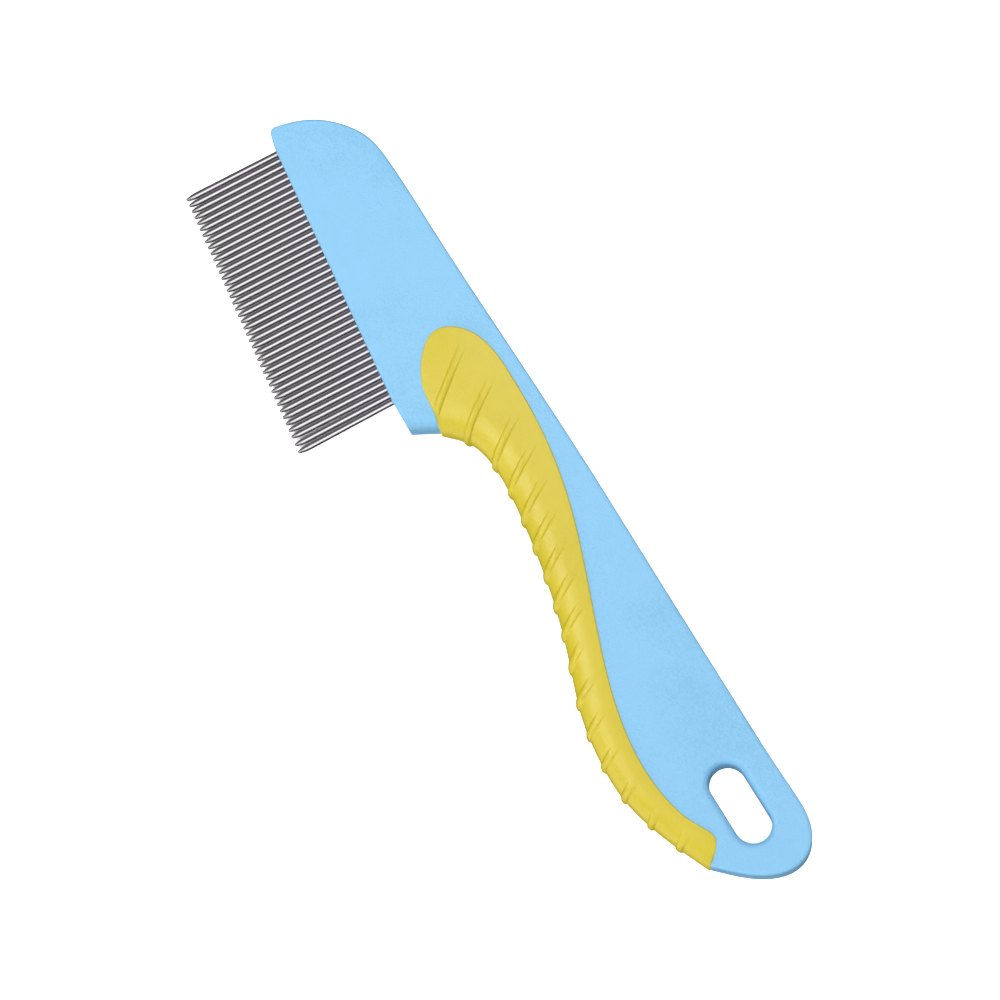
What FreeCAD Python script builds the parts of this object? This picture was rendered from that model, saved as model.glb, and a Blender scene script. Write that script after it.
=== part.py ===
import FreeCAD, Part
import math
import os

# Flea comb: a hard plastic handle and head moulded as one piece round a row of
# steel pins, with a ribbed soft grip moulded over the finger side.
#
# Drawing frame, in millimetres: x runs along the back edge from the head to the
# tail, y points away from the pins, and z = 0 is the middle of the thickness.
# At the end everything is shifted, so that the origin is the bottom centre of
# the comb's bounding box and the comb lies flat on z = 0.

# Thicknesses, as half of the full value
BODY_HALF = 3.5
GRIP_HALF = 4.3
RIB_HALF = 4.8
TONGUE_HALF = 1.7

# Edge rounding
BODY_EDGE_R = 0.6
SLOT_EDGE_R = 1.3
GRIP_EDGE_R = 2.8
HEEL_EDGE_R = 2.6

# Steel pins, spaced at the pitch square to their own direction
PIN_COUNT = 41
PIN_PITCH = 1.5
PIN_R = 0.65
PIN_TIP_R = 0.34
PIN_TAPER = 2.6
PIN_EXPOSED = 20.9
PIN_BURIED = 9.0
PIN_NECK_R = 0.45
PIN_NECK_LENGTH = 1.2
PIN_BUTT_CHAMFER = 0.15
PIN_LEAN = 4.36
FIRST_ROOT_X = -88.2
# The last two pins lean less: pin number, its lean, and its shift along x
STRAYED_PINS = {40: (3.6, 0.0), 41: (3.1, -0.05)}

# Hanging slot near the tail
SLOT_CENTRE = (72.4, 7.85)
SLOT_LENGTH = 15.2
SLOT_WIDTH = 6.7

# Head: the root line that the pins come out of, and the heel at its end
NOSE_CORNER = (-92.35, -0.45)
ROOT_START = (-88.0, -1.46)
ROOT_END = (-27.2, -7.75)
HEEL_TIP = (-21.1, -7.9)
HEEL_TOP = (-17.6, -2.0)
NOSE_CORNER_R = 1.3

# Nose, back edge and tail in one smooth run
BACK_EDGE = [
    NOSE_CORNER,
    (-91.35, 3.4),
    (-89.65, 7.25),
    (-87.05, 10.65),
    (-83.4, 13.65),
    (-79.4, 15.65),
    (-73.0, 16.6),
    (-55.0, 16.75),
    (-36.0, 16.9),
    (-14.0, 17.25),
    (8.0, 17.35),
    (30.0, 17.1),
    (55.0, 16.9),
    (74.0, 16.95),
    (80.0, 16.85),
    (83.9, 15.5),
    (86.4, 12.6),
    (86.95, 9.8),
    (86.3, 6.7),
    (83.8, 2.45),
    (79.0, -2.7),
]

# Soft grip: its inner edge on both faces, and its outer finger edge
GRIP_INNER = [
    (79.0, -2.3),
    (77.3, -0.2),
    (75.2, 0.9),
    (73.2, 0.2),
    (70.0, -1.45),
    (65.5, -2.75),
    (59.5, -3.4),
    (53.0, -3.05),
    (44.0, -1.25),
    (35.0, 1.6),
    (22.0, 6.35),
    (8.0, 10.9),
    (-6.0, 13.5),
    (-20.0, 14.2),
    (-28.5, 13.3),
    (-33.7, 10.1),
    (-35.2, 6.3),
    (-33.9, 3.5),
    (-30.8, 0.8),
    (-26.0, -1.4),
    (-21.5, -1.95),
    (-18.2, -2.7),
]
GRIP_OUTER = [
    (-17.15, -3.0),
    (-14.9, -0.85),
    (-12.3, 0.95),
    (-8.5, 2.05),
    (-3.0, 2.35),
    (6.0, 1.5),
    (20.0, -0.95),
    (34.0, -4.9),
    (44.0, -8.2),
    (52.0, -9.45),
    (60.0, -9.5),
    (68.0, -7.65),
    (79.4, -2.9),
]

# Ribs over the grip: inner end on the face and outer end on the finger edge
RIBS = [
    ((-30.2, 10.4), (-22.2, 0.3)),
    ((-21.4, 12.0), (-12.4, -0.7)),
    ((-12.2, 12.0), (-5.0, 1.0)),
    ((-5.4, 11.9), (1.2, 0.7)),
    ((1.5, 10.4), (7.2, 0.1)),
    ((7.8, 8.7), (13.2, -1.1)),
    ((14.0, 7.0), (19.0, -2.1)),
    ((19.9, 5.7), (24.8, -3.4)),
    ((26.2, 3.6), (30.2, -5.1)),
    ((32.4, -0.3), (36.2, -7.0)),
    ((39.2, -2.0), (42.5, -9.1)),
    ((45.5, -3.8), (48.6, -10.5)),
    ((52.2, -4.9), (54.8, -11.1)),
    ((59.0, -5.4), (61.6, -10.9)),
    ((65.8, -4.9), (68.2, -9.3)),
    ((71.9, -2.6), (74.3, -7.3)),
]
RIB_WIDTH = 1.5
RIB_PROUD = 0.55

# Core that the soft grip is moulded round, and the holes that lock it there
TONGUE = [
    (76.5, 3.0),
    (70.0, -3.6),
    (60.0, -6.3),
    (50.0, -6.0),
    (40.0, -3.4),
    (28.0, 0.3),
    (14.0, 4.0),
    (0.0, 5.6),
    (-10.0, 5.2),
    (-20.0, 1.6),
    (-28.0, 2.2),
    (-31.0, 6.3),
    (-28.0, 10.0),
    (-20.0, 16.0),
]
TONGUE_BACK = (60.0, 3.0)
LOCK_HOLES = [(-25.0, 6.2), (-13.0, 8.6), (0.0, 8.9), (13.0, 6.2)]
LOCK_HOLE_R = 1.5

# The handle's lower edge where the grip hides it, from the tail to the heel
COVERED_EDGE = [(60.0, -6.0), (30.0, -0.5), (0.0, 6.0)]

# The ends of the grip run out past the plastic, from its inner edge outwards
GRIP_TAIL_RUN = (0.9, -1.2)
GRIP_HEEL_RUN = (2.4, -0.6)

# The grip blank: it dips this far below the heel, and its finger edge is the
# part of its outline below this height, short of the tail end by this much
BLANK_DIP = 2.0
FINGER_TOP = 8.0
FINGER_END_GAP = 1.0

# How far the tool that rounds the heel reaches past the plastic
HEEL_CLEAR = 1.0

# Far outside the comb, for the tools that cut it, and the slack for matching
REACH = 40.0
SLACK = 0.01


def point(xy, z=0.0):
    return FreeCAD.Vector(xy[0], xy[1], z)


def curve(points):
    """A smooth edge through the given points."""
    spline = Part.BSplineCurve()
    spline.interpolate([point(p) for p in points])
    return spline.toShape()


def line(start, end):
    return Part.LineSegment(point(start), point(end)).toShape()


def arc(start, middle, end):
    return Part.Arc(point(start), point(middle), point(end)).toShape()


def path(corners):
    """Straight edges from each corner to the next."""
    return [line(corners[k], corners[k + 1]) for k in range(len(corners) - 1)]


def slope_deg(vector):
    return math.degrees(math.atan2(vector.y, vector.x))


def slab(edges, half):
    """A flat plate of the outline that the edges close, centred on z = 0."""
    wire = Part.Wire(Part.sortEdges(edges)[0])
    face = Part.Face(wire)
    face.translate(FreeCAD.Vector(0, 0, -half))
    return face.extrude(FreeCAD.Vector(0, 0, 2 * half))


def rim_edges(solid, half, keep):
    """Edges on the two flat faces whose middle passes the keep test."""
    found = []
    for edge in solid.Edges:
        middle = edge.valueAt((edge.FirstParameter + edge.LastParameter) / 2)
        on_face = all(abs(abs(v.Z) - half) < SLACK for v in edge.Vertexes)
        if on_face and abs(abs(middle.z) - half) < SLACK and keep(middle):
            found.append(edge)
    return found


def is_upright_at(edge, xy):
    """True for an edge along z that stands at the given plan position."""
    return all(abs(v.X - xy[0]) + abs(v.Y - xy[1]) < SLACK for v in edge.Vertexes)


def body_outline():
    """Outline of the hard plastic, closed by plain lines under the grip."""
    head = [HEEL_TOP, HEEL_TIP, ROOT_END, ROOT_START, NOSE_CORNER]
    return [curve(BACK_EDGE)] + path([BACK_EDGE[-1]] + COVERED_EDGE + head)


def slot_prism():
    """Obround through the tail, as long as the slot and as wide."""
    half_run = (SLOT_LENGTH - SLOT_WIDTH) / 2
    r = SLOT_WIDTH / 2
    x, y = SLOT_CENTRE
    left = x - half_run
    right = x + half_run
    edges = [
        line((left, y - r), (right, y - r)),
        arc((right, y - r), (right + r, y), (right, y + r)),
        line((right, y + r), (left, y + r)),
        arc((left, y + r), (left - r, y), (left, y - r)),
    ]
    return slab(edges, BODY_HALF)


def heel_corner(side):
    """What rounding the heel takes off its edge on one face, side 1 or -1."""
    r = HEEL_EDGE_R
    low = BODY_HALF - r
    diagonal = r * (1 - math.sqrt(0.5))
    clear = BODY_HALF + HEEL_CLEAR
    run = point(HEEL_TOP) - point(HEEL_TIP)
    # Section with its first axis going into the heel, its second along z
    round_edge = arc((r, BODY_HALF), (diagonal, BODY_HALF - diagonal), (0.0, low))
    beyond = -HEEL_CLEAR
    outside = path(
        [(0.0, low), (beyond, low), (beyond, clear), (r, clear), (r, BODY_HALF)]
    )
    section = Part.Face(Part.Wire([round_edge] + outside))
    section.rotate(FreeCAD.Vector(), FreeCAD.Vector(1, 0, 0), 90)
    corner = section.extrude(FreeCAD.Vector(0, -(run.Length + 2 * r), 0))
    corner.translate(FreeCAD.Vector(0, r, 0))
    corner.rotate(FreeCAD.Vector(), FreeCAD.Vector(0, 0, 1), slope_deg(run) + 90)
    corner.translate(point(HEEL_TIP))
    if side < 0:
        corner = corner.mirror(FreeCAD.Vector(), FreeCAD.Vector(0, 0, 1))
    return corner


def grip_region():
    """Everything on the finger side of the grip's inner edge, full height."""
    inner = curve(GRIP_INNER)
    start = GRIP_INNER[0]
    end = GRIP_INNER[-1]
    tail = (start[0] + GRIP_TAIL_RUN[0], start[1] + GRIP_TAIL_RUN[1])
    heel = (end[0] + GRIP_HEEL_RUN[0], end[1] + GRIP_HEEL_RUN[1])
    far = [(tail[0], -REACH), (heel[0], -REACH)]
    return slab([inner] + path([start, tail] + far + [heel, end]), 2 * RIB_HALF)


def tongue():
    """Thin core of the handle inside the grip, with its locking holes."""
    back = path([TONGUE[-1], TONGUE_BACK, TONGUE[0]])
    core = slab([curve(TONGUE)] + back, TONGUE_HALF)
    for x, y in LOCK_HOLES:
        base = FreeCAD.Vector(x, y, -TONGUE_HALF)
        hole = Part.makeCylinder(LOCK_HOLE_R, 2 * TONGUE_HALF, base)
        core = core.cut(hole)
    return core


def is_on_slot(middle):
    """True for a point on the edge of the hanging slot."""
    x, y = SLOT_CENTRE
    beside = abs(middle.x - x) < SLOT_LENGTH / 2 + SLACK
    return beside and abs(middle.y - y) < SLOT_WIDTH / 2 + SLACK


def make_body(pins):
    plate = slab(body_outline(), BODY_HALF)
    corner = [e for e in plate.Edges if is_upright_at(e, NOSE_CORNER)]
    plate = plate.makeFillet(NOSE_CORNER_R, corner)
    outer = rim_edges(plate, BODY_HALF, lambda middle: True)
    plate = plate.makeFillet(BODY_EDGE_R, outer)
    plate = plate.cut(heel_corner(1)).cut(heel_corner(-1))
    plate = plate.cut(slot_prism())
    rim = rim_edges(plate, BODY_HALF, is_on_slot)
    plate = plate.makeFillet(SLOT_EDGE_R, rim)
    core = tongue().common(grip_region())
    body = plate.cut(grip_region()).fuse(core).removeSplitter()
    return body.cut(Part.makeCompound(pins))


def grip_plate(half, proud):
    """Grip blank out to the finger edge, pushed out by proud, edge rounded."""
    outer = [(x, y - proud) for x, y in GRIP_OUTER]
    dip = (HEEL_TIP[0], HEEL_TIP[1] - BLANK_DIP)
    left = NOSE_CORNER[0]
    right = outer[-1][0]
    around = path(
        [outer[-1], (right, REACH), (left, REACH), (left, dip[1]), dip, outer[0]]
    )
    blank = slab([curve(outer)] + around, half)

    def is_on_finger_edge(middle):
        between = HEEL_TIP[0] < middle.x < right - FINGER_END_GAP
        return between and middle.y < FINGER_TOP

    finger = rim_edges(blank, half, is_on_finger_edge)
    return blank.makeFillet(GRIP_EDGE_R, finger)


def rib_strip(inner, outer):
    """Upright strip with round ends, under which one rib is raised."""
    run = point(outer) - point(inner)
    half = RIB_WIDTH / 2
    low = -2 * RIB_HALF
    high = 4 * RIB_HALF
    strip = Part.makeBox(run.Length, RIB_WIDTH, high, FreeCAD.Vector(0, -half, low))
    for x in (0.0, run.Length):
        end = Part.makeCylinder(half, high, FreeCAD.Vector(x, 0, low))
        strip = strip.fuse(end)
    strip.rotate(FreeCAD.Vector(), FreeCAD.Vector(0, 0, 1), slope_deg(run))
    strip.translate(point(inner))
    return strip


def make_grip():
    grip = grip_plate(GRIP_HALF, 0.0)
    raised = grip_plate(RIB_HALF, RIB_PROUD)
    strips = Part.makeCompound([rib_strip(inner, outer) for inner, outer in RIBS])
    grip = grip.fuse(raised.common(strips))
    return grip.common(grip_region()).cut(tongue()).removeSplitter()


def root_of(number):
    """Where a pin leaves the head: a place on the root line."""
    slope = (ROOT_END[1] - ROOT_START[1]) / (ROOT_END[0] - ROOT_START[0])
    lean = math.radians(PIN_LEAN)
    step = PIN_PITCH / (math.cos(lean) - slope * math.sin(lean))
    x = FIRST_ROOT_X + (number - 1) * step
    if number in STRAYED_PINS:
        x += STRAYED_PINS[number][1]
    return (x, ROOT_START[1] + slope * (x - ROOT_START[0]))


def pin_section():
    """Half section of a pin: butt end, locking neck, shaft, bullet point."""
    neck_start = -PIN_BURIED + PIN_NECK_LENGTH
    neck_end = neck_start + PIN_NECK_LENGTH
    shaft_end = PIN_EXPOSED - PIN_TAPER
    tip_centre = PIN_EXPOSED - PIN_TIP_R
    diagonal = PIN_TIP_R * math.sqrt(0.5)
    # Halfway along a curve that starts flush with the shaft, it has closed in
    # by a quarter of what it closes in altogether
    halfway = ((3 * PIN_R + PIN_TIP_R) / 4, (shaft_end + tip_centre) / 2)
    profile = [
        (0.0, -PIN_BURIED),
        (PIN_R - PIN_BUTT_CHAMFER, -PIN_BURIED),
        (PIN_R, -PIN_BURIED + PIN_BUTT_CHAMFER),
        (PIN_R, neck_start),
        (PIN_NECK_R, neck_start),
        (PIN_NECK_R, neck_end),
        (PIN_R, neck_end),
        (PIN_R, shaft_end),
    ]
    shoulder = (PIN_TIP_R, tip_centre)
    end = (0.0, PIN_EXPOSED)
    bullet = [
        arc(profile[-1], halfway, shoulder),
        arc(shoulder, (diagonal, tip_centre + diagonal), end),
        line(end, profile[0]),
    ]
    return Part.Face(Part.Wire(path(profile) + bullet))


def make_pin(number):
    lean = STRAYED_PINS[number][0] if number in STRAYED_PINS else PIN_LEAN
    pin = pin_section().revolve(FreeCAD.Vector(), FreeCAD.Vector(0, 1, 0), 360)
    pin.rotate(FreeCAD.Vector(), FreeCAD.Vector(0, 0, 1), 180 - lean)
    pin.translate(point(root_of(number)))
    return pin


def main():
    pins = [make_pin(number) for number in range(1, PIN_COUNT + 1)]
    nodes = {"handle_body": make_body(pins), "grip": make_grip()}
    for number, pin in enumerate(pins, start=1):
        nodes[f"tooth_{number:02d}"] = pin
    box = Part.makeCompound(list(nodes.values())).optimalBoundingBox()
    shift = FreeCAD.Vector(-box.Center.x, -box.Center.y, -box.ZMin)
    os.makedirs("parts", exist_ok=True)
    for name, shape in nodes.items():
        shape.translate(shift)
        shape.exportStep(f"parts/{name}.step")
        print(name, shape.isValid(), round(shape.Volume, 2), len(shape.Solids))
    print("size", box.XLength, box.YLength, box.ZLength, "shift", shift)


main()
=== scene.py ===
import bpy
import bmesh
import math
import numpy as np
from mathutils import Matrix, Vector
from mathutils.geometry import delaunay_2d_cdt

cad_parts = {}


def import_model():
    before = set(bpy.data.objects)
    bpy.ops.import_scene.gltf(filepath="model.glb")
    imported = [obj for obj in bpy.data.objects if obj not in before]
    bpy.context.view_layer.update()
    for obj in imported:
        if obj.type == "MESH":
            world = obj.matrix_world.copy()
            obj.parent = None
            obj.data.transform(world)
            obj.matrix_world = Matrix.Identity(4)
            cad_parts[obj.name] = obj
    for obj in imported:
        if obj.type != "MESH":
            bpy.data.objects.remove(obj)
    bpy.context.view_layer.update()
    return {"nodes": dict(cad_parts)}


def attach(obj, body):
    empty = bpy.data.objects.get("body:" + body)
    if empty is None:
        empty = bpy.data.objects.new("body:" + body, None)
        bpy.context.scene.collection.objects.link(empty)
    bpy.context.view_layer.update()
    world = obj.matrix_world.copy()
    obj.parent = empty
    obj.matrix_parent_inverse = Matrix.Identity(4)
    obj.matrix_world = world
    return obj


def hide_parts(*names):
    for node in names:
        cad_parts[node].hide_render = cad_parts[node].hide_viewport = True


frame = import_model()

# A flea comb: a blue handle with steel pins in its head and a yellow soft grip.
# Lengths below are in millimetres, in the drawing frame of the comb: x along the
# back edge from head to tail, y away from the pins, z = 0 at mid-thickness.
# SHIFT is the place of this frame's origin in the row frame.
MM = 0.001
SHIFT = np.array([2.5794, 5.5576, 4.8])

# Camera: looks down on the comb from high above its tail end, turned so that
# the comb stands diagonally in the picture. The offset leads from the aim to it
CAMERA_AIM = (0.0, 0.0, 0.0)
CAMERA_OFFSET = (120.7, -9.2, 358.6)
CAMERA_UP = (-0.806, 0.518, 0.285)
CAMERA_LENS = 72.0

# Direction of the floor's slanting sun. Seen from there the pins hide the gaps
# between them, so that the floor behind them is in shadow
FLOOR_LIGHT = (0.577, -0.026, 1.0)
# Brightness of the room above and below the horizon, and half the height of the
# band where the two blend
ROOM_ABOVE = 0.14
ROOM_BELOW = 0.05
HORIZON_BAND = 0.1
# Floor: half width and drop below the comb, in metres, and its grey
FLOOR_HALF_WIDTH = 30.0
FLOOR_DROP = 0.0001
FLOOR_GREY = 0.9

# Plastic: scales of the slow colour drift and of the faint swell of its surface,
# the span of noise from the dark colour to the light one, and, in metres, the
# depths of the swell and of the fine grain
DRIFT_SCALE = 38.0
SWELL_SCALE = 420.0
PLASTIC_SPAN = (0.8, 1.0)
SWELL_DEPTH = 0.00006
GRAIN_DEPTH = 0.00014
# Steel: noise drawn out along the pins, its span from dark to light, and the
# strength and depth, in metres, of the streaks it leaves
STREAK_SCALE = (1800.0, 30.0, 1800.0)
STREAK_SPAN = (0.3, 0.7)
STEEL_DARK = (0.6, 0.58, 0.61)
STEEL_LIGHT = (0.68, 0.66, 0.69)
STEEL_ROUGHNESS = (0.2, 0.3)
STREAK_STRENGTH = 0.1
STREAK_DEPTH = 0.00001

# Soft grip: inner edge on the face, outer finger edge
GRIP_INNER = [
    (79.0, -2.3), (77.3, -0.2), (75.2, 0.9), (73.2, 0.2), (70.0, -1.45),
    (65.5, -2.75), (59.5, -3.4), (53.0, -3.05), (44.0, -1.25), (35.0, 1.6),
    (22.0, 6.35), (8.0, 10.9), (-6.0, 13.5), (-20.0, 14.2), (-28.5, 13.3),
    (-33.7, 10.1), (-35.2, 6.3), (-33.9, 3.5), (-30.8, 0.8), (-26.0, -1.4),
    (-21.5, -1.95), (-18.2, -2.7),
]
GRIP_OUTER = [
    (-17.15, -3.0), (-14.9, -0.85), (-12.3, 0.95), (-8.5, 2.05), (-3.0, 2.35),
    (6.0, 1.5), (20.0, -0.95), (34.0, -4.9), (44.0, -8.2), (52.0, -9.45),
    (60.0, -9.5), (68.0, -7.65), (79.4, -2.9),
]
# Ribs over the grip: inner end on the face and outer end on the finger edge
RIBS = [
    ((-30.2, 10.4), (-22.2, 0.3)),
    ((-21.4, 12.0), (-12.4, -0.7)),
    ((-12.2, 12.0), (-5.0, 1.0)),
    ((-5.4, 11.9), (1.2, 0.7)),
    ((1.5, 10.4), (7.2, 0.1)),
    ((7.8, 8.7), (13.2, -1.1)),
    ((14.0, 7.0), (19.0, -2.1)),
    ((19.9, 5.7), (24.8, -3.4)),
    ((26.2, 3.6), (30.2, -5.1)),
    ((32.4, -0.3), (36.2, -7.0)),
    ((39.2, -2.0), (42.5, -9.1)),
    ((45.5, -3.8), (48.6, -10.5)),
    ((52.2, -4.9), (54.8, -11.1)),
    ((59.0, -5.4), (61.6, -10.9)),
    ((65.8, -4.9), (68.2, -9.3)),
    ((71.9, -2.6), (74.3, -7.3)),
]
# Half thickness at the colour break, and how much the grip swells from there
RIM_HALF = 3.8
CROWN = 0.55
CROWN_RUN = 9.0
# The finger edge is rounded over this width, with this fullness
NOSE_RUN = 6.5
NOSE_POWER = 2.15
NOSE_ROWS = 20
# Rounded rib: half width and height
RIB_HALF_WIDTH = 0.75
RIB_HEIGHT = 0.45
# In shares of its length, a rib rises over the first stretch from its inner end,
# runs on past its outer end as far as its reach, and falls over the last stretch
RIB_FADE = 0.75
RIB_REACH = 1.6
RIB_END_FADE = 0.3
# Width beside the colour break where the ribs die out
RIB_RIM_FADE = 1.6
# Rounding of the grip's rim at the colour break, and its overlap on the plastic
RIM_ROUND = 0.3
RIM_OVERLAP = 0.06

# Mesh of the grip: size of a triangle, its height as a share of that size, and
# the spacing of points along the outline
CELL = 0.36
CELL_HEIGHT = 0.866
EDGE_CELL = 0.2
# Rows of points beside the rim, and beside and along each rib
RIM_ROWS = [0.06, 0.14, 0.24, 0.36, 0.6]
RIB_OFFSETS = [-0.9, -0.75, -0.7, -0.6, -0.4, -0.2, 0.0, 0.2, 0.4, 0.6, 0.7, 0.75, 0.9]
RIB_STEP = 0.25
# Space kept clear of points: beside the rim, beside the finger edge for rows
# that cross it and for rows that follow it, and before a rib, in its lengths
RIM_GAP = 0.05
CROSSING_GAP = 0.1
NOSE_GAP = 0.02
RIB_START_GAP = 0.02
# Points closer than this are merged
MERGE_GAP = 1e-4
# Keeps a division away from zero
TINY = 1e-12


def to_frame(points):
    """Drawing millimetres to metres in the row frame."""
    return (np.asarray(points, float) + SHIFT) * MM


def smooth_line(points, step):
    """Points about one step apart on a smooth curve through the given ones."""
    p = np.array(points, float)
    knots = np.concatenate([[0.0], np.cumsum(np.linalg.norm(np.diff(p, axis=0), axis=1))])
    span = np.diff(knots)
    count = len(p)
    matrix = np.eye(count)
    right = np.zeros_like(p)
    for k in range(1, count - 1):
        matrix[k, k - 1] = span[k - 1]
        matrix[k, k] = 2 * (span[k - 1] + span[k])
        matrix[k, k + 1] = span[k]
        right[k] = 6 * ((p[k + 1] - p[k]) / span[k] - (p[k] - p[k - 1]) / span[k - 1])
    bend = np.linalg.solve(matrix, right)
    s = np.linspace(0.0, knots[-1], int(round(knots[-1] / step)) + 1)
    k = np.clip(np.searchsorted(knots, s, side="right") - 1, 0, count - 2)
    h = span[k][:, None]
    a = (knots[k + 1] - s)[:, None] / h
    b = (s - knots[k])[:, None] / h
    cubic = ((a**3 - a) * bend[k] + (b**3 - b) * bend[k + 1]) * h * h / 6
    return a * p[k] + b * p[k + 1] + cubic


def distance_to(points, path):
    """Shortest distance from each point to an open run of straight pieces."""
    start = path[:-1]
    run = path[1:] - start
    length_sq = (run**2).sum(1)
    best = np.full(len(points), np.inf)
    for k in range(len(start)):
        off = points - start[k]
        t = np.clip((off @ run[k]) / length_sq[k], 0, 1)
        gap = np.linalg.norm(off - t[:, None] * run[k], axis=1)
        best = np.minimum(best, gap)
    return best


def inside(points, loop):
    """True for the points inside a closed loop."""
    x, y = points[:, 0], points[:, 1]
    odd = np.zeros(len(points), bool)
    for (x0, y0), (x1, y1) in zip(loop, np.roll(loop, -1, axis=0)):
        crosses = (y0 > y) != (y1 > y)
        at = x0 + (y - y0) * (x1 - x0) / (y1 - y0 if y1 != y0 else TINY)
        odd ^= crosses & (x < at)
    return odd


def ease(t):
    """Smooth step from 0 to 1."""
    t = np.clip(t, 0, 1)
    return t * t * (3 - 2 * t)


def sideways(line):
    """Unit vectors to the left of a run of points."""
    along = np.gradient(line, axis=0)
    along /= np.linalg.norm(along, axis=1)[:, None]
    return np.stack([-along[:, 1], along[:, 0]], axis=1)


def rows_beside(line, offsets):
    """Copies of a line moved to its left by each offset."""
    return np.concatenate([line + sideways(line) * d for d in offsets])


def rib_place(points, rib):
    """How far along a rib each point is, 0 to 1, and how far beside it."""
    start = np.array(rib[0])
    run = np.array(rib[1]) - start
    along = (points - start) @ run / (run @ run)
    beside = (points - start) @ np.array([-run[1], run[0]]) / np.linalg.norm(run)
    return along, beside


def rib_height(points):
    """How far the ribs lift the surface at each plan position."""
    lift = np.zeros(len(points))
    for rib in RIBS:
        along, beside = rib_place(points, rib)
        arch = np.sqrt(1 - np.clip(beside / RIB_HALF_WIDTH, -1, 1) ** 2)
        fade = ease(along / RIB_FADE) * ease((RIB_REACH - along) / RIB_END_FADE)
        lift = np.maximum(lift, RIB_HEIGHT * arch * fade)
    return lift


def rib_rows():
    """Rows of points along every rib, so that its crest and feet are crisp."""
    rows = []
    for inner, outer in RIBS:
        start = np.array(inner)
        run = np.array(outer) - start
        length = np.linalg.norm(run)
        side = np.array([-run[1], run[0]]) / length
        steps = np.arange(0.0, length * RIB_REACH, RIB_STEP) / length
        for offset in RIB_OFFSETS:
            rows.append(start + steps[:, None] * run + side * offset)
    return np.concatenate(rows)


def near_rib(points):
    """True for the points that the rows along a rib already cover."""
    near = np.zeros(len(points), bool)
    for rib in RIBS:
        along, beside = rib_place(points, rib)
        on_it = (along > -RIB_START_GAP) & (along < RIB_REACH)
        near |= on_it & (np.abs(beside) < RIB_OFFSETS[-1] + CELL / 3)
    return near


def grip_plan():
    """Plan of the grip: its points, triangles and outline, and its two edges."""
    outer = smooth_line(GRIP_OUTER, EDGE_CELL)
    inner = smooth_line(GRIP_INNER, EDGE_CELL)
    inner = inner - sideways(inner) * RIM_OVERLAP
    loop = np.concatenate([outer, inner])
    turn = np.linspace(0, math.pi / 2, NOSE_ROWS)[1:]
    nose = rows_beside(outer[::2], NOSE_RUN * (1 - np.cos(turn)))
    rim = rows_beside(inner, RIM_ROWS)
    ribs = rib_rows()
    low = loop.min(0)
    high = loop.max(0)
    grid_x, grid_y = np.meshgrid(
        np.arange(low[0], high[0], CELL), np.arange(low[1], high[1], CELL * CELL_HEIGHT)
    )
    grid_x = grid_x + (np.arange(len(grid_x)) % 2)[:, None] * CELL / 2
    grid = np.stack([grid_x.ravel(), grid_y.ravel()], axis=1)
    off_rim = RIM_ROWS[-1] + CELL / 2

    def kept(points, from_inner, from_outer, off_ribs):
        """The points inside the grip, clear of its edges and maybe of its ribs."""
        keep = inside(points, loop)
        keep &= distance_to(points, inner) > from_inner
        keep &= distance_to(points, outer) > from_outer
        return points[keep & ~near_rib(points)] if off_ribs else points[keep]

    plan = np.concatenate(
        [
            loop,
            kept(rim, RIM_GAP, CROSSING_GAP, False),
            kept(ribs, off_rim, CROSSING_GAP, False),
            kept(nose, off_rim, NOSE_GAP, True),
            kept(grid, off_rim, NOSE_RUN + CELL / 2, True),
        ]
    )
    count = len(loop)
    edges = [(k, (k + 1) % count) for k in range(count)]
    only_inside = 1
    points = [Vector(p) for p in plan]
    made = delaunay_2d_cdt(points, edges, [], only_inside, MERGE_GAP)
    flat = np.array([tuple(v) for v in made[0]])
    triangles = np.array(made[2])
    place = {old: new for new, olds in enumerate(made[3]) for old in olds}
    outline = [place[k] for k in range(count)]
    return flat, triangles, outline, outer, inner


def upward(points, triangles, on_edge):
    """Unit normals of a surface at its points, level along the finger edge."""
    a, b, c = (points[triangles[:, k]] for k in range(3))
    across = np.cross(b - a, c - a)
    normal = np.zeros_like(points)
    for k in range(3):
        np.add.at(normal, triangles[:, k], across)
    normal[on_edge, 2] = 0.0
    return normal / (np.linalg.norm(normal, axis=1)[:, None] + TINY)


def grip_face(flat, triangles, on_edge, outer, inner):
    """Upper face: crowned, rolled over at the finger edge, with its ribs."""
    from_outer = distance_to(flat, outer)
    from_inner = distance_to(flat, inner)
    swell = np.sin(np.clip(from_inner / CROWN_RUN, 0, 1) * math.pi / 2)
    crown = RIM_HALF + CROWN * swell
    share = 1 - np.clip(from_outer / NOSE_RUN, 0, 1)
    height = crown * (1 - share**NOSE_POWER) ** (1 / NOSE_POWER)
    rim = 1 - np.clip(from_inner / RIM_ROUND, 0, 1)
    height -= RIM_ROUND * (1 - np.sqrt(1 - rim**2)) * ease(height)
    height[on_edge] = 0.0
    top = np.column_stack([flat, height])
    lift = rib_height(flat) * ease(from_inner / RIB_RIM_FADE)
    return top + upward(top, triangles, on_edge) * lift[:, None]


def shell_faces(triangles, under, wall):
    """Upper triangles, the ones mirrored below, and the wall between the rims."""
    faces = [tuple(t) for t in triangles]
    faces += [tuple(under[i] for i in reversed(t)) for t in triangles]
    for i, j in zip(wall, wall[1:]):
        side = [j, i, under[i], under[j]]
        faces.append(tuple(dict.fromkeys(int(v) for v in side)))
    return faces


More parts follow.
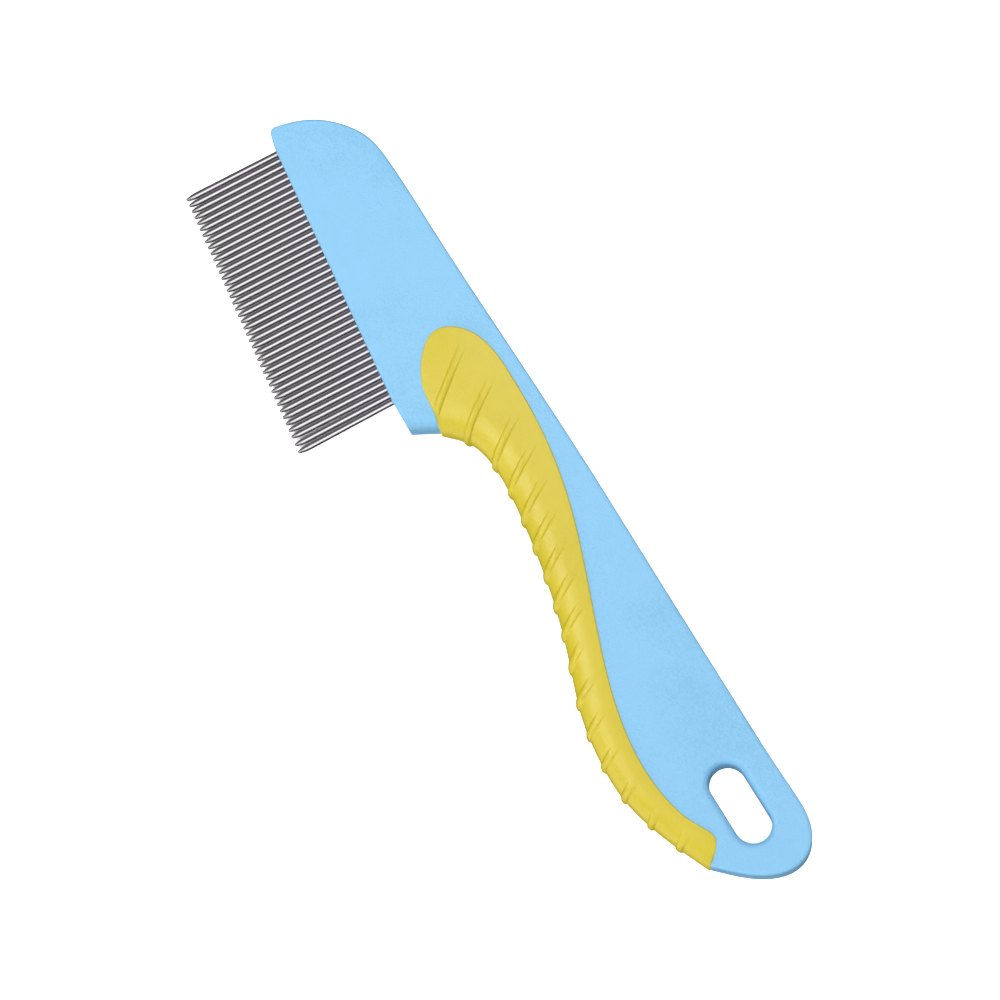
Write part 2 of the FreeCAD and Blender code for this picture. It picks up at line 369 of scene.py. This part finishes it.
def solid(name, points, faces):
    """A smooth object made of the faces and the points that they use."""
    used = sorted({v for f in faces for v in f})
    place = {v: k for k, v in enumerate(used)}
    mesh = bpy.data.meshes.new(name)
    mesh.from_pydata(
        [tuple(points[v]) for v in used], [], [[place[v] for v in f] for f in faces]
    )
    bm = bmesh.new()
    bm.from_mesh(mesh)
    bmesh.ops.recalc_face_normals(bm, faces=bm.faces)
    bm.to_mesh(mesh)
    bm.free()
    mesh.shade_smooth()
    piece = bpy.data.objects.new(name, mesh)
    bpy.context.scene.collection.objects.link(piece)
    return piece


def build_grip():
    """The soft grip: its underside mirrors the top and shares the finger edge."""
    flat, triangles, outline, outer, inner = grip_plan()
    on_edge = np.zeros(len(flat), bool)
    on_edge[outline[: len(outer)]] = True
    top = grip_face(flat, triangles, on_edge, outer, inner)
    under = np.arange(len(flat)) + len(flat)
    under[on_edge] = np.flatnonzero(on_edge)
    points = to_frame(np.concatenate([top, top * np.array([1, 1, -1])]))
    wall = outline[len(outer) - 1 :] + outline[:1]
    return solid("soft_grip_shell", points, shell_faces(triangles, under, wall))


def shader(name):
    """A new material with its main shader, a node maker and a link maker."""
    material = bpy.data.materials.new(name)
    material.use_nodes = True
    tree = material.node_tree

    def add(kind, **values):
        node = tree.nodes.new(kind)
        for key, value in values.items():
            if key in node.inputs:
                node.inputs[key].default_value = value
            else:
                setattr(node, key, value)
        return node

    return material, tree.nodes["Principled BSDF"], add, tree.links.new


def noise(add, link, place, **values):
    """Noise over the given coordinates."""
    made = add("ShaderNodeTexNoise", **values)
    link(place, made.inputs["Vector"])
    return made.outputs["Fac"]


def tint(add, link, value, span, dark, light):
    """Colour that runs from dark to light over a span of the value."""
    made = add("ShaderNodeValToRGB")
    first, last = made.color_ramp.elements
    first.position, last.position = span
    first.color = (*dark, 1.0)
    last.color = (*light, 1.0)
    link(value, made.inputs["Fac"])
    return made.outputs["Color"]


def spread(add, link, value, low, high):
    """The value, 0 to 1, spread from low to high."""
    made = add("ShaderNodeMapRange")
    made.inputs["To Min"].default_value = low
    made.inputs["To Max"].default_value = high
    link(value, made.inputs["Value"])
    return made.outputs["Result"]


def relief(add, link, height, strength, depth, below=None):
    """Bumps of the given height, over those below where there are any."""
    made = add("ShaderNodeBump", Strength=strength, Distance=depth)
    link(height, made.inputs["Height"])
    if below:
        link(below, made.inputs["Normal"])
    return made.outputs["Normal"]


def plastic(name, dark, light, grain, roughness, bump):
    """Moulded plastic: faint colour drift, fine grain and uneven gloss."""
    material, main, add, link = shader(name)
    place = add("ShaderNodeTexCoord").outputs["Object"]
    drift = noise(add, link, place, Scale=DRIFT_SCALE, Detail=3.0, Roughness=0.55)
    fine = noise(add, link, place, Scale=grain, Detail=4.0, Roughness=0.6)
    swell = noise(add, link, place, Scale=SWELL_SCALE, Detail=2.0, Roughness=0.5)
    both = add("ShaderNodeMath", operation="ADD")
    link(drift, both.inputs[0])
    link(fine, both.inputs[1])
    colour = tint(add, link, both.outputs["Value"], PLASTIC_SPAN, dark, light)
    link(colour, main.inputs["Base Color"])
    link(spread(add, link, fine, *roughness), main.inputs["Roughness"])
    waves = relief(add, link, swell, bump, SWELL_DEPTH)
    grains = relief(add, link, fine, bump, GRAIN_DEPTH, waves)
    link(grains, main.inputs["Normal"])
    return material


def steel(name):
    """Polished drawn wire: streaks along the pin and slightly uneven gloss."""
    material, main, add, link = shader(name)
    main.inputs["Metallic"].default_value = 1.0
    place = add("ShaderNodeTexCoord").outputs["Object"]
    stretch = add("ShaderNodeMapping", Scale=STREAK_SCALE)
    link(place, stretch.inputs["Vector"])
    streaks = noise(add, link, stretch.outputs["Vector"], Scale=1.0, Detail=2.0)
    colour = tint(add, link, streaks, STREAK_SPAN, STEEL_DARK, STEEL_LIGHT)
    link(colour, main.inputs["Base Color"])
    link(spread(add, link, streaks, *STEEL_ROUGHNESS), main.inputs["Roughness"])
    lines = relief(add, link, streaks, STREAK_STRENGTH, STREAK_DEPTH)
    link(lines, main.inputs["Normal"])
    return material


def floor():
    """White floor, kept out of the comb's light and lit by its own suns."""
    bm = bmesh.new()
    bmesh.ops.create_grid(bm, x_segments=8, y_segments=8, size=FLOOR_HALF_WIDTH)
    mesh = bpy.data.meshes.new("studio_floor")
    bm.to_mesh(mesh)
    bm.free()
    plane = bpy.data.objects.new("studio_floor", mesh)
    plane.location = (0, 0, -FLOOR_DROP)
    plane.visible_diffuse = False
    plane.visible_glossy = False
    plane.visible_shadow = False
    bpy.context.scene.collection.objects.link(plane)
    material, main = shader("pale_floor")[:2]
    main.inputs["Roughness"].default_value = 0.9
    main.inputs["Specular IOR Level"].default_value = 0.0
    main.inputs["Base Color"].default_value = (FLOOR_GREY, FLOOR_GREY, FLOOR_GREY, 1.0)
    mesh.materials.append(material)
    return plane


def lamp(name, kind, direction, distance, power, lit, blockers):
    """A lamp that lights only some objects and is shaded only by the blockers."""
    data = bpy.data.lights.new(name, kind)
    data.energy = power
    made = bpy.data.objects.new(name, data)
    toward = Vector(direction).normalized()
    made.location = Vector(to_frame([CAMERA_AIM])[0]) + toward * distance
    made.rotation_mode = "QUATERNION"
    made.rotation_quaternion = toward.to_track_quat("Z", "Y")
    bpy.context.scene.collection.objects.link(made)
    links = made.light_linking
    links.receiver_collection = bpy.data.collections.new(name + "_lit")
    links.blocker_collection = bpy.data.collections.new(name + "_blockers")
    for piece in lit:
        links.receiver_collection.objects.link(piece)
    for piece in blockers:
        links.blocker_collection.objects.link(piece)
    return made


def soft_light(name, direction, distance, size, power, lit):
    """A square soft box, shaded by the whole comb."""
    made = lamp(name, "AREA", direction, distance, power, lit, comb)
    made.data.shape = "SQUARE"
    made.data.size = size
    return made


def floor_sun(name, direction, width, power, blockers):
    """A sun of the given angular width for the floor alone."""
    made = lamp(name, "SUN", direction, 1.0, power, [ground], blockers)
    made.data.angle = width


def camera():
    """The scene's camera, placed and turned by the values at the top."""
    data = bpy.data.cameras.new("studio_camera")
    data.lens = CAMERA_LENS
    data.sensor_width = 36.0
    data.clip_start = 0.01
    data.clip_end = 100.0
    eye = bpy.data.objects.new("studio_camera", data)
    back = Vector(CAMERA_OFFSET).normalized()
    right = Vector(CAMERA_UP).cross(back).normalized()
    up = back.cross(right)
    turn = Matrix((right, up, back)).transposed().to_4x4()
    place = Vector(to_frame([CAMERA_AIM])[0]) + Vector(CAMERA_OFFSET) * MM
    eye.matrix_world = Matrix.Translation(place) @ turn
    bpy.context.scene.collection.objects.link(eye)
    bpy.context.scene.camera = eye


def world():
    """A dim room: grey above the horizon and darker below it."""
    made = bpy.data.worlds.new("studio_world")
    made.use_nodes = True
    tree = made.node_tree
    place = tree.nodes.new("ShaderNodeTexCoord")
    parts = tree.nodes.new("ShaderNodeSeparateXYZ")
    tree.links.new(place.outputs["Generated"], parts.inputs["Vector"])
    blend = tree.nodes.new("ShaderNodeMapRange")
    blend.inputs["From Min"].default_value = -HORIZON_BAND
    blend.inputs["From Max"].default_value = HORIZON_BAND
    blend.inputs["To Min"].default_value = ROOM_BELOW
    blend.inputs["To Max"].default_value = ROOM_ABOVE
    tree.links.new(parts.outputs["Z"], blend.inputs["Value"])
    back = tree.nodes["Background"]
    back.inputs["Color"].default_value = (1.0, 1.0, 1.0, 1.0)
    tree.links.new(blend.outputs["Result"], back.inputs["Strength"])
    bpy.context.scene.world = made


camera()
world()
ground = floor()
bpy.context.scene.view_settings.view_transform = "Standard"

blue = plastic(
    "hard_plastic_blue",
    dark=(0.16, 0.405, 0.625),
    light=(0.19, 0.445, 0.68),
    grain=2600.0,
    roughness=(0.34, 0.48),
    bump=0.8,
)
yellow = plastic(
    "soft_grip_yellow",
    dark=(0.475, 0.385, 0.013),
    light=(0.515, 0.415, 0.017),
    grain=3000.0,
    roughness=(0.32, 0.46),
    bump=0.15,
)
pin_steel = steel("polished_pin_steel")

for name, node in frame["nodes"].items():
    finish = pin_steel if name.startswith("tooth") else blue
    node.data.materials.clear()
    node.data.materials.append(finish)

grip = build_grip()
grip.data.materials.append(yellow)
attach(grip, "root")
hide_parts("grip")

pins = [node for name, node in frame["nodes"].items() if name.startswith("tooth")]
plastics = [grip, frame["nodes"]["handle_body"]]
comb = plastics + pins
# Soft boxes: direction from the comb, distance and width in metres, power in
# watts, and what each one lights
soft_light("main_box", (0.36, 0.0, 1.0), 1.1, 2.0, 10.0, plastics)
soft_light("key_box", (-0.45, -0.6, 1.0), 0.6, 0.4, 2.2, plastics)
soft_light("head_box", (-0.55, 0.4, 1.0), 1.1, 0.5, 3.4, plastics)
soft_light("wall_box", (0.86, -0.5, 0.35), 0.8, 0.4, 2.3, plastics)
soft_light("back_box", (0.1, 1.0, 0.1), 0.8, 0.8, 3.0, comb)
soft_light("front_box", (0.1, -1.0, 0.0), 0.8, 0.8, 3.2, plastics)
bounce = soft_light("bounce_box", (0.2, -0.1, -1.0), 0.7, 1.6, 7.0, plastics)
bounce.visible_glossy = False
soft_light("pin_box", (0.76, 0.0, 1.0), 1.1, 1.3, 7.6, pins)
soft_light("pin_front_box", (0.0, -1.0, 0.5), 1.1, 1.4, 4.0, pins)
# Suns: direction, angular width and strength. Their shadows on the floor fall
# behind the comb, as the camera sees it. The first pin blocks no light from the
# slanting sun, because its shadow would show beside it
floor_sun("slant_sun", FLOOR_LIGHT, 0.2, 3.4, pins[1:])
floor_sun("view_sun", CAMERA_OFFSET, 0.25, 3.7, comb)
